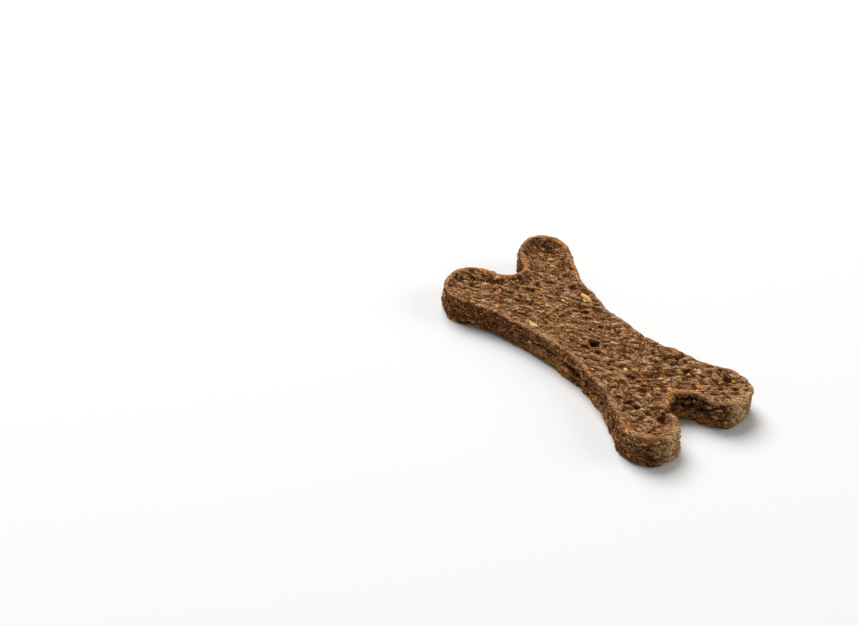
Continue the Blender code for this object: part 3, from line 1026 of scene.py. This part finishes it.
def mince_finish():
    """Dried minced beef: strands of many browns, golden specks and a warmer rim, with painted shade in the
    creases, pits and on the walls, painted light on the tops of the relief, and painted glints.
    """
    finish = Finish("dried_mince")
    cells, between = finish.cells, finish.between
    crag, side, rim, warm, amber, bloom = (
        finish.attribute(name) for name in ("crag", "side", "rim", "warm", "amber", "bloom"))
    flakes, crumbs = finish.ragged(FLAKE_SIZE, TORN), finish.ragged(CRUMB_SIZE, TORN)
    lumps, grits = finish.ragged(LUMP_CELL_SIZE, TORN), finish.ragged(GRIT_SIZE, GRIT_TORN)
    strand = finish.cloud(finish.stretched(STRAND_SIZE), 1.0, STRAND_DETAIL, STRAND_GRAIN)
    strand = between(strand, *STRAND_BAND)
    patch = finish.cloud(finish.place, PATCH_SCALE, PATCH_DETAIL)
    flake = cells(flakes, "Color")
    crumb = between(cells(crumbs, "Color"), *CRUMB_BAND)
    dome = 1.0 - cells(flakes, "Distance")
    fine = 1.0 - cells(crumbs, "Distance")
    along_bone = finish.add("ShaderNodeSeparateXYZ", {}, {"Vector": finish.place}, "X")
    at_right = between(along_bone, *FOLD_CHANGE)

    # Painted light and shade: the strands, crags, domes and fine domes lighten the tops of the relief and
    # darken the hollows between
    patterns = (flake, crumb, strand, crag, dome, fine, patch, at_right)
    shade = sum(share * pattern for share, pattern in zip(TONES_AND_PAINTED_RELIEF_LIGHT, patterns)) - SHADE_LEVEL
    colour = finish.add("ShaderNodeValToRGB", {"stops": MEAT_SHADES}, {"Fac": shade})

    # Painted shade: laid dark into the creases, where crag is low
    painted_crease_shade = 1.0 - between(crag + CREASE_UNEVENNESS * (flake - 0.5), *CREASE_BAND)
    painted_crease_shade = painted_crease_shade * (CREASE_AT_LEFT + CREASE_GAIN_AT_RIGHT * at_right)
    waxy_flakes = WAXY_LEAST + (1.0 - WAXY_LEAST) * flake
    bloom_patches = 0.5 * (crumb + flake) + FLOURY_OF_PATCHES * patch
    for name, where in {
            "ruddy": between(cells(lumps, "Color"), *RUDDY_BAND),
            "lip": between(rim, *LIP_BAND) * between(crumb + flake, *LIP_FLECK_BAND),
            "waxy": warm * between(rim + WAXY_OF_CRUMBS * crumb, *WAXY_BAND) * waxy_flakes,
            "red": finish.attribute("red"),
            "side": side,
            "groove": finish.attribute("groove"),
            "amber": amber * between(0.5 * strand + flake, *AMBER_BAND),
            "floury": bloom * between(bloom_patches, *FLOURY_BAND),
            "painted_crease_shade": painted_crease_shade,
            "golden": between(flake, *GOLDEN_BAND) * between(dome, *GOLDEN_DOME_BAND),
    }.items():
        strength, tint = TINTS[name]
        colour = finish.mix(strength * where, colour, tint)
    # Painted highlights: glints laid into the colour, not in the creases, and fainter on the walls
    glint = between(cells(grits, "Color"), *GLINT_BAND) * (1.0 - painted_crease_shade)
    glint = glint * between(cells(grits, "Distance"), *GLINT_DOT_BAND)
    colour = finish.mix((PAINTED_GLINT_STRENGTH - PAINTED_GLINT_LOSS_ON_WALLS * side) * glint, colour, PAINTED_GLINT_COLOUR)
    finish.fill(finish.shader, {
        "Base Color": colour,
        "Roughness": MEAT_ROUGHNESS - GLINT_SMOOTHNESS * glint,
        "Specular IOR Level": MEAT_SPECULAR,
        "Coat Weight": FAT_SHEEN * between(0.5 * (crag + dome), *SHEEN_BAND) * (1.0 - side),
        "Coat Roughness": FAT_ROUGHNESS,
        "Coat IOR": FAT_IOR,
    })
    height = BUMP_OF_STRANDS * strand + BUMP_OF_DOMES * dome + BUMP_OF_FINE * fine
    finish.bump(height, MEAT_BUMP, 1.0)
    return finish.material


def bit_finish(name, stops, roughness):
    """A kind of bit."""
    finish = Finish(name)
    patch = finish.cloud(finish.place, BIT_PATCH_SCALE, BIT_PATCH_DETAIL)
    shade = BIT_SHADE_SPREAD * finish.attribute("shade") + BIT_UNEVENNESS * (patch - BIT_PATCH_LEVEL)
    glint = finish.cloud(finish.place, BIT_GLINT_SCALE, BIT_GLINT_DETAIL)
    glint = finish.between(glint, *BIT_GLINT_BAND)
    finish.fill(finish.shader, {
        "Base Color": finish.add("ShaderNodeValToRGB", {"stops": stops}, {"Fac": shade}),
        "Roughness": roughness - BIT_SMOOTHNESS * glint,
        "Specular IOR Level": BIT_SPECULAR,
        "Coat Weight": BIT_SHEEN * glint,
        "Coat Roughness": BIT_SHEEN_ROUGHNESS,
        "Coat IOR": FAT_IOR,
    })
    finish.bump(patch, BIT_BUMP, BIT_BUMP_STRENGTH)
    return finish.material


class Growth(Nodes):
    """A Geometry Nodes tree with named inputs."""

    def __init__(self, name, inputs):
        self.tree = bpy.data.node_groups.new(name, "GeometryNodeTree")
        super().__init__(self.tree)
        self.inputs = {}
        sockets = self.tree.interface
        sockets.new_socket("Geometry", in_out="OUTPUT", socket_type="NodeSocketGeometry")
        for label, kind in {"Geometry": "Geometry", **inputs}.items():
            made = sockets.new_socket(label, in_out="INPUT", socket_type="NodeSocket" + kind)
            self.inputs[label] = made.identifier
        self.start = self.nodes.new("NodeGroupInput")

    def given(self, label):
        """One of the tree's named inputs."""
        return Value(self, self.start.outputs[label])

    def stored(self, name, kind="FLOAT"):
        """A value stored at each point."""
        return self.add("GeometryNodeInputNamedAttribute", {"data_type": kind}, {"Name": name}, "Attribute")

    def store(self, geometry, name, value, kind="FLOAT", domain="POINT"):
        """Stores a value at each point or instance."""
        return self.add(
            "GeometryNodeStoreNamedAttribute", {"data_type": kind, "domain": domain},
            {"Geometry": geometry, "Name": name, "Value": value}, "Geometry")

    def random(self, low, high, seed, kind="FLOAT"):
        """A random number or vector, the same on every run."""
        suffix = {"FLOAT": "_001", "FLOAT_VECTOR": ""}[kind]
        return self.add(
            "FunctionNodeRandomValue", {"data_type": kind},
            {"Min" + suffix: low, "Max" + suffix: high, "Seed": seed}, "Value" + suffix)

    def finish(self, geometry):
        """Joins a result to the tree's output."""
        self.fill(self.nodes.new("NodeGroupOutput"), {"Geometry": geometry})


def strewn_points(growth):
    """Points strewn over a surface in clumps, each with the way it faces and runs, and its size."""
    given, add = growth.given, growth.add
    place = add("GeometryNodeInputPosition", {}, {})
    clump = growth.cloud(place, CLUMP_SCALE, CLUMP_DETAIL)
    clump = add(
        "ShaderNodeMapRange", {"clamp": True},
        {"Value": clump, "From Min": CLUMP_BAND[0], "From Max": CLUMP_BAND[1],
         "To Min": 1.0 - given("Clump"), "To Max": 1.0 + given("Clump")}, "Result")
    density = clump * growth.stored(given("Where")) * given("Density")
    points = add(
        "GeometryNodeDistributePointsOnFaces", {"distribute_method": "RANDOM"},
        {"Mesh": given("Geometry"), "Density": density, "Seed": given("Seed")}, "Points")
    facing = Value(growth, points.socket.node.outputs["Normal"])
    points = growth.store(points, "facing", facing, "FLOAT_VECTOR")
    along = growth.random(ALONG_LOW, ALONG_HIGH, ALONG_SEED, "FLOAT_VECTOR")
    points = growth.store(points, "along", along, "FLOAT_VECTOR")
    points = growth.store(points, "breadth", growth.random(*BREADTH_SPREAD, BREADTH_SEED))
    length = growth.random(given("Shortest"), given("Longest"), given("Seed"))
    return growth.store(points, "length", length)


def bits_tree():
    """Puts a small uneven bit on each point, or on points strewn over a surface, partly sunk in it."""
    growth = Growth("bits", {
        "Strewn": "Bool", "Density": "Float", "Where": "String", "Clump": "Float", "Seed": "Int",
        "Shortest": "Float", "Longest": "Float", "Breadth": "Float", "Height": "Float", "Sunk": "Float",
        "Uneven": "Float", "Fineness": "Int", "Finish": "Material",
    })
    given, add = growth.given, growth.add
    placed = add("GeometryNodeMeshToPoints", {}, {"Mesh": given("Geometry")}, "Points")
    points = add(
        "GeometryNodeSwitch", {"input_type": "GEOMETRY"},
        {"Switch": given("Strewn"), "False": placed, "True": strewn_points(growth)}, "Output")
    length = growth.stored("length")
    breadth = length * given("Breadth") * growth.stored("breadth")
    size = add(
        "ShaderNodeCombineXYZ", {}, {"X": length, "Y": breadth, "Z": length * given("Height")}, "Vector")
    lie = add(
        "FunctionNodeAlignRotationToVector", {"axis": "Z"},
        {"Vector": growth.stored("facing", "FLOAT_VECTOR")}, "Rotation")
    lie = add(
        "FunctionNodeAlignRotationToVector", {"axis": "X", "pivot_axis": "Z"},
        {"Rotation": lie, "Vector": growth.stored("along", "FLOAT_VECTOR")}, "Rotation")
    bit = add("GeometryNodeMeshIcoSphere", {}, {"Radius": 0.5, "Subdivisions": given("Fineness")}, "Mesh")
    made = add(
        "GeometryNodeInstanceOnPoints", {},
        {"Points": points, "Instance": bit, "Rotation": lie, "Scale": size}, "Instances")
    sunk = add("ShaderNodeCombineXYZ", {}, {"Z": given("Sunk")}, "Vector")
    made = add(
        "GeometryNodeTranslateInstances", {},
        {"Instances": made, "Local Space": True, "Translation": sunk}, "Instances")
    made = growth.store(made, "shade", growth.random(0.0, 1.0, SHADE_SEED), domain="INSTANCE")
    made = add("GeometryNodeRealizeInstances", {}, {"Geometry": made}, "Geometry")
    place = add("GeometryNodeInputPosition", {}, {})
    jitter = growth.cloud(place, UNEVEN_SCALE, UNEVEN_DETAIL, output="Color")
    jitter = add("ShaderNodeVectorMath", {"operation": "SUBTRACT"}, {0: jitter, 1: (0.5, 0.5, 0.5)})
    jitter = add("ShaderNodeVectorMath", {"operation": "SCALE"}, {0: jitter, "Scale": given("Uneven")})
    made = add("GeometryNodeSetPosition", {}, {"Geometry": made, "Offset": jitter}, "Geometry")
    growth.finish(add(
        "GeometryNodeSetMaterial", {}, {"Geometry": made, "Material": given("Finish")}, "Geometry"))
    return growth


def grow(growth, name, mesh, values):
    """Runs a tree on a mesh and keeps the result as a plain piece."""
    item = put(name, mesh)
    worked = item.modifiers.new("growth", "NODES")
    worked.node_group = growth.tree
    for label, value in values.items():
        worked[growth.inputs[label]] = value
    bake(item)
    item.data.name = name
    keep_inside(item.data, BIT_LIFT)
    item.data.shade_smooth()
    return item


def grain_places(edge, rng):
    """Rough places for the scattered grains: each is the emptiest of a few random ones."""
    places = [Vector((x, y, THICKNESS)) for x, y, *_ in SHOWN_GRAINS]
    places.append(Vector((*PEG_PLACE, THICKNESS)))
    known = len(places)
    while len(places) < known + SCATTERED_GRAINS:
        tries = [grain_try(edge, rng) for _ in range(GRAIN_TRIES)]
        places.append(max(tries, key=lambda p: min((p - q).length for q in places)))
    return places[known:]


def grain_try(edge, rng):
    """A random place on the shown face or a wall."""
    if rng.random() > TOP_SHARE:
        point = rng.choice(edge.points)
        return Vector((point.x, point.y, THICKNESS * rng.uniform(*WALL_BAND)))
    while True:
        x, y = (rng.uniform(-half, half) for half in HALF_SPAN)
        if edge.measure(x, y)[0] > EDGE_ROUND:
            return Vector((x, y, THICKNESS))


def large_grains(body, edge):
    """The grains that show most, by kind: where each lies, the way it faces and runs, and its size."""
    rng = random.Random(GRAIN_SEED)
    grains = [(Vector((x, y, THICKNESS)), length, breadth, math.radians(turn), kind)
              for x, y, length, breadth, turn, kind in SHOWN_GRAINS]
    for i, place in enumerate(grain_places(edge, rng)):
        kind = SCATTERED_KINDS[i % len(SCATTERED_KINDS)]
        grains.append((place, rng.uniform(*GRAIN_LENGTH), GRAIN_BREADTH, rng.uniform(0, math.tau), kind))
    found = {}
    for place, length, breadth, turn, kind in grains:
        _, spot, up, _ = body.closest_point_on_mesh(place)
        way = Vector((0, 0, 1)).rotation_difference(up) @ Vector((math.cos(turn), math.sin(turn), 0))
        found.setdefault(kind, []).append((spot, up, way, length, breadth))
    return found


def grain_points(grains):
    """A mesh of points for some grains."""
    places, ups, ways, lengths, breadths = zip(*grains)
    mesh = bpy.data.meshes.new("grain_points")
    mesh.from_pydata(places, [], [])
    for name, vectors in (("facing", ups), ("along", ways)):
        kept = mesh.attributes.new(name, "FLOAT_VECTOR", "POINT")
        kept.data.foreach_set("vector", np.array(vectors, dtype=np.float32).ravel())
    write_attribute(mesh, "length", lengths)
    write_attribute(mesh, "breadth", breadths)
    return mesh


def camera():
    """Stands where the photograph was taken from."""
    level = math.cos(ELEVATION)
    back = Vector((math.sin(AZIMUTH) * level, -math.cos(AZIMUTH) * level, math.sin(ELEVATION)))
    level_right = Vector((math.cos(AZIMUTH), math.sin(AZIMUTH), 0.0))
    level_up = back.cross(level_right)
    right = level_right * math.cos(ROLL) + level_up * math.sin(ROLL)
    up = back.cross(right)
    aside = (MIDDLE_PIXEL[0] - PHOTO[0] / 2) / PIXELS_A_METRE
    below = (MIDDLE_PIXEL[1] - PHOTO[1] / 2) / PIXELS_A_METRE
    place = Vector((0, 0, FACE_HEIGHT)) - right * aside + up * below
    place += back * FOCAL_PIXELS / PIXELS_A_METRE
    lens = bpy.data.cameras.new("camera")
    lens.sensor_width = SENSOR
    lens.lens = SENSOR * FOCAL_PIXELS / PHOTO[0]
    lens.clip_start = NEAREST_SEEN
    item = put("camera", lens)
    item.matrix_world = Matrix.Translation(place) @ Matrix((right, up, back)).transposed().to_4x4()
    bpy.context.scene.camera = item
    return right, up, back


def lamp(name, place, size, power):
    """A soft square lamp that faces the bone."""
    light = bpy.data.lights.new(name, "AREA")
    light.size = size
    light.energy = power
    item = put(name, light)
    item.location = place
    item.rotation_euler = (-Vector(place)).to_track_quat("-Z", "Y").to_euler()


def studio():
    """The pale floor, the lights and the way that colours are shown."""
    right, up, back = camera()
    bpy.ops.mesh.primitive_plane_add(size=FLOOR_SIZE, location=(0, 0, -FLOOR_DROP))
    floor = bpy.context.object
    floor.name = "floor"
    finish = Finish("pale_floor")
    finish.fill(finish.shader, {"Base Color": FLOOR_COLOUR, "Roughness": FLOOR_ROUGHNESS})
    floor.data.materials.append(finish.material)
    for name, ((upward, rightward, backward), distance, size, power) in LAMPS.items():
        lamp(name, (up * upward + right * rightward + back * backward) * distance, size, power)
    world = bpy.data.worlds.new("sky")
    world.use_nodes = True
    sky = world.node_tree.nodes["Background"]
    sky.inputs["Color"].default_value = SKY_COLOUR
    sky.inputs["Strength"].default_value = SKY_STRENGTH
    bpy.context.scene.world = world
    bpy.context.scene.view_settings.view_transform = "Standard"


def settle(item):
    """Makes a finished piece ride with the bone and stand for its node."""
    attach(item, "root")
    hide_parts("bone")


studio()
edge = Edge()
body = mince_body(edge)
body.data.materials.clear()
body.data.materials.append(mince_finish())
settle(body)

FINISHES = {kind: bit_finish(*look) for kind, look in BIT_LOOKS.items()}
growth = bits_tree()
for kind, grains in large_grains(body, edge).items():
    settle(grow(growth, kind + "_grains", grain_points(grains), {
        "Strewn": False, "Breadth": 1.0, "Finish": FINISHES[kind], **GRAIN_SHAPE,
    }))
for seed, (name, (kind, *amounts)) in enumerate(STREWN.items(), FIRST_STREWN_SEED):
    settle(grow(growth, name, body.data.copy(), {
        "Strewn": True, "Seed": seed, "Finish": FINISHES[kind], **FINE_SHAPE, **dict(zip(STREWN_BY, amounts)),
    }))
